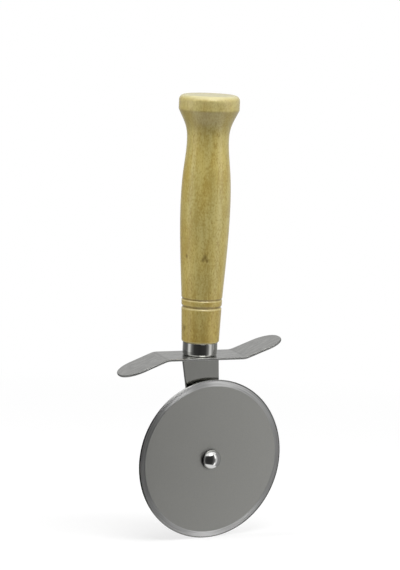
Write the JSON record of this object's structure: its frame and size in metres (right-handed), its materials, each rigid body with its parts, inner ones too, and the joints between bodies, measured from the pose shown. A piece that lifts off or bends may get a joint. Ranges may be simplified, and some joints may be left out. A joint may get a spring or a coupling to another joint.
{
  "type": "pizza cutter",
  "caption": "Hand-held pizza cutter: a turned wooden handle with a ferrule, an S-shaped steel finger guard, and a round blade that spins on a rivet at the end of a flat arm.",
  "frame": {"origin": "centre of the handle's flat end", "axes": "+Z out of the handle's flat end along the handle's axis, with the blade hanging below; the blade's front face and the rivet's dome look along -Y; +X to the right seen from the front"},
  "size_m": [0.0825, 0.0294, 0.2068],
  "materials": {
    "handle_wood": "pale close-grained wood under clear satin lacquer",
    "ferrule_chrome": "bright plated",
    "guard_steel": "polished stainless steel strip",
    "arm_steel": "satin stainless steel",
    "blade_steel": "satin faces with a brighter ground bevel",
    "rivet_steel": "polished dome",
    "washer_steel": "plain zinc-coated steel"
  },
  "bodies": {
    "frame": {"handle": "handle_wood", "ferrule": "ferrule_chrome", "finger_guard": "guard_steel", "arm": "arm_steel", "axle_rivet": "rivet_steel", "spacer_washer": "washer_steel", "rear_washer": "washer_steel"},
    "blade": {"blade_wheel": "blade_steel"}
  },
  "joints": [
    {"name": "blade_spin", "type": "hinge", "parent": "frame", "child": "blade", "pos_m": [0.00592, 0, -0.16935], "axis": [0, 1, 0], "continuous": true}
  ]
}
